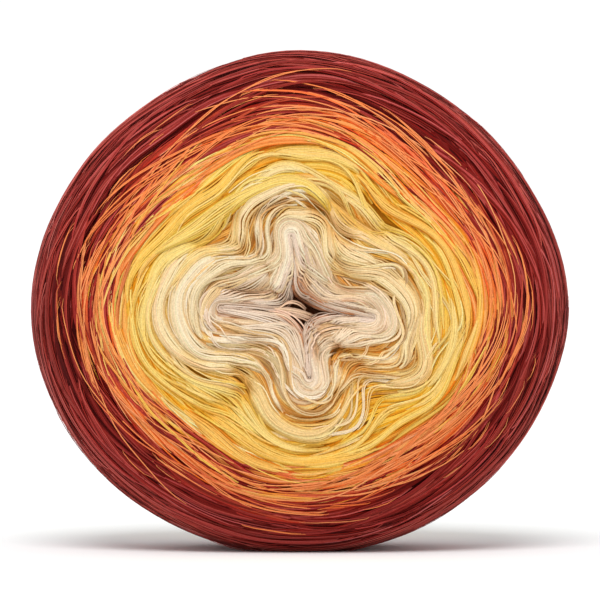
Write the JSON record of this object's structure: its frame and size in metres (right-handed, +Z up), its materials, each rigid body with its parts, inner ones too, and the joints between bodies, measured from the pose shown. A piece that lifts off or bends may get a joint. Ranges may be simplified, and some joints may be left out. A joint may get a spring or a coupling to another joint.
{
  "type": "yarn cake",
  "caption": "Thick oval cake of yarn wound in long fading colours, standing on its rim, its closed core a four-armed star of soft folds on both faces.",
  "frame": {"origin": "on the resting surface, at the middle of the box around the cake in X and Y", "axes": "+Z up; +X to the right along the width, seen from the front; the front face looks along -Y and the back face along +Y, so the thickness runs along Y"},
  "size_m": [0.1702, 0.0804, 0.1582],
  "materials": {
    "yarn": "fine unplied yarn fading from cream at the core over yellow and orange to dark red at the rim"
  },
  "bodies": {
    "root": {"yarn_cake": "yarn"}
  },
  "joints": []
}
